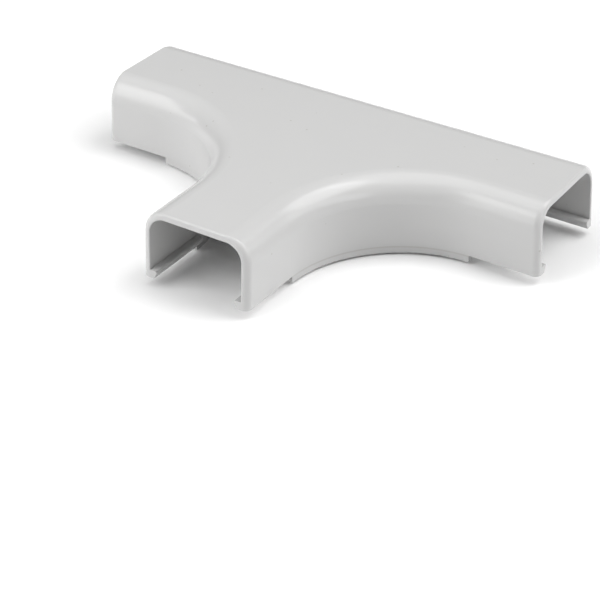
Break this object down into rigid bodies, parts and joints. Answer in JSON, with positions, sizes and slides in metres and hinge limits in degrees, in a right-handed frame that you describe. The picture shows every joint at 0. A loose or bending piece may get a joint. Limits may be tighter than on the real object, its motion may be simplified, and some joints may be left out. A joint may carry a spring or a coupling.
{
  "type": "raceway tee cover",
  "caption": "Tee-shaped cover for a surface raceway, moulded in one piece, open underneath, with two wide curved inside walls and open mouths on all arms.",
  "frame": {"origin": "on the mounting surface, under the point where the centre lines of the run and the branch cross", "axes": "+X along the run, -Y out along the branch, +Z away from the mounting surface, through the flat top"},
  "size_m": [0.0976, 0.0603, 0.0154],
  "materials": {
    "moulded_plastic": "fine satin, light grey, as moulded"
  },
  "bodies": {
    "root": {"tee_cover": "moulded_plastic"}
  },
  "joints": []
}
